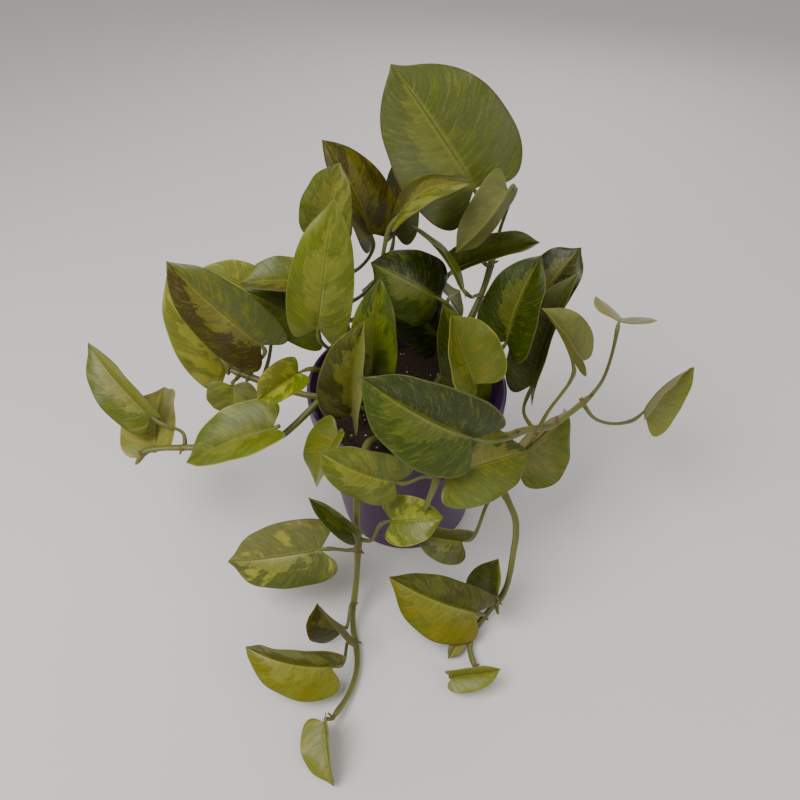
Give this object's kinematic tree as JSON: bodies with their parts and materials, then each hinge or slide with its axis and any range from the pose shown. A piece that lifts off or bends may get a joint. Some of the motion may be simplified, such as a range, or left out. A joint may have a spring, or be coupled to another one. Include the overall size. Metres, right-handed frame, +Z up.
{
  "type": "potted pothos plant",
  "caption": "Trailing pothos plant with variegated heart-shaped leaves in a dark round nursery pot, vines hanging over the rim onto the surface.",
  "frame": {"origin": "centre of the pot's underside, on the surface that it stands on", "axes": "+Z up along the pot's axis; the front, where most vines hang down, is towards -Y; +X is to the right seen from the front"},
  "size_m": [0.4561, 0.353, 0.337],
  "materials": {
    "pot_plastic": "dark purple moulded plastic, soft sheen, dusty",
    "potting_mix": "crumbly dark potting mix with pale grains",
    "stem": "smooth fleshy stem, olive with paler stripes and brown nodes",
    "leaf_dark": "waxy dark green leaf with a pale margin",
    "leaf_green": "waxy mid-green leaf with faint marbling",
    "leaf_bright": "waxy yellow-green leaf",
    "leaf_gold": "waxy green leaf with yellow sectors and streaks",
    "leaf_olive": "waxy olive-brown leaf with yellow-olive streaks",
    "leaf_pale": "pale khaki underside of a leaf"
  },
  "bodies": {
    "root": {"pot": "pot_plastic", "soil": "potting_mix", "vine_front_left": "stem", "vine_front_right": "stem", "vine_front_middle": "stem", "vine_left_low": "stem", "vine_left_high": "stem", "vine_right": "stem", "vine_crown_right": "stem", "vine_crown_left": "stem", "leaf_01": "leaf_green", "leaf_02": "leaf_olive", "leaf_03": "leaf_green", "leaf_04": "leaf_olive", "leaf_05": "leaf_gold", "leaf_06": "leaf_pale", "leaf_07": "leaf_dark", "leaf_08": "leaf_olive", "leaf_09": "leaf_olive", "leaf_10": "leaf_dark", "leaf_11": "leaf_olive", "leaf_12": "leaf_olive", "leaf_13": "leaf_pale", "leaf_14": "leaf_pale", "leaf_15": "leaf_gold", "leaf_16": "leaf_olive", "leaf_17": "leaf_gold", "leaf_18": "leaf_dark", "leaf_19": "leaf_olive", "leaf_20": "leaf_bright", "leaf_21": "leaf_bright", "leaf_22": "leaf_green", "leaf_23": "leaf_bright", "leaf_24": "leaf_dark", "leaf_25": "leaf_olive", "leaf_26": "leaf_gold", "leaf_27": "leaf_bright", "leaf_28": "leaf_gold", "leaf_29": "leaf_dark", "leaf_30": "leaf_bright", "leaf_31": "leaf_green", "leaf_32": "leaf_bright", "leaf_33": "leaf_olive", "leaf_34": "leaf_pale", "leaf_35": "leaf_gold", "leaf_36": "leaf_gold", "leaf_37": "leaf_bright", "leaf_38": "leaf_dark", "leaf_39": "leaf_green", "leaf_40": "leaf_olive", "leaf_41": "leaf_olive", "leaf_42": "leaf_green", "leaf_43": "leaf_pale", "leaf_44": "leaf_gold", "leaf_45": "leaf_green", "leaf_46": "leaf_gold", "leaf_47": "leaf_pale", "leaf_48": "leaf_green", "leaf_49": "leaf_dark", "leaf_50": "leaf_green"}
  },
  "joints": []
}
